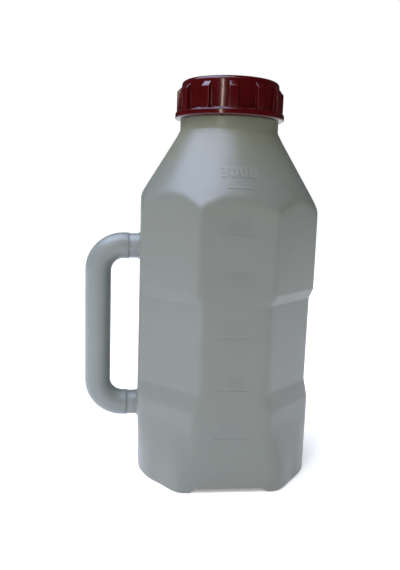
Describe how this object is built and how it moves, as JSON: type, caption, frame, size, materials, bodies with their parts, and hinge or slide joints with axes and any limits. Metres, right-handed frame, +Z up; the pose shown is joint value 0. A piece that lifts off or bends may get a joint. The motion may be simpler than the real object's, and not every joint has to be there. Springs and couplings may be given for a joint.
{
  "type": "calf feeding bottle",
  "caption": "Eight-sided translucent feeding bottle with a side handle, a ribbed screw ring and a rubber teat stored turned in.",
  "frame": {"origin": "under the middle of the whole object, on the plane it stands on; the bottle's own axis is at x = 20.7 mm, y = 0", "axes": "+Z up along the bottle, -Y out of the scale panel at the front, -X towards the handle"},
  "size_m": [0.1786, 0.1372, 0.301],
  "materials": {
    "natural_hdpe": "satin",
    "red_polypropylene": "gloss",
    "teat_rubber": "matte",
    "seal_silicone": "matte",
    "valve_plastic": "satin",
    "ball_steel": "polished"
  },
  "bodies": {
    "bottle": {"bottle_body": "natural_hdpe", "handle_tube": "natural_hdpe"},
    "teat_stack": {"teat": "teat_rubber", "neck_gasket": "seal_silicone", "air_valve_housing": "valve_plastic", "air_valve_retainer": "valve_plastic"},
    "cap": {"screw_cap": "red_polypropylene"},
    "ball": {"air_valve_ball": "ball_steel"}
  },
  "joints": [
    {"name": "cap_lift", "type": "slide", "parent": "bottle", "child": "teat_stack", "axis": [0, 0, 1], "range_m": [0, 0.012]},
    {"name": "cap_turn", "type": "hinge", "parent": "teat_stack", "child": "cap", "pos_m": [0.02068, 0, 0.287], "axis": [0, 0, 1], "range_deg": [0, 720]},
    {"name": "ball_travel", "type": "slide", "parent": "teat_stack", "child": "ball", "axis": [0, 0, 1], "range_m": [0, 0.0022]}
  ],
  "couplings": [
    {"joint": "cap_lift", "follows": "cap_turn", "m_per_rad": 0.00095493}
  ]
}
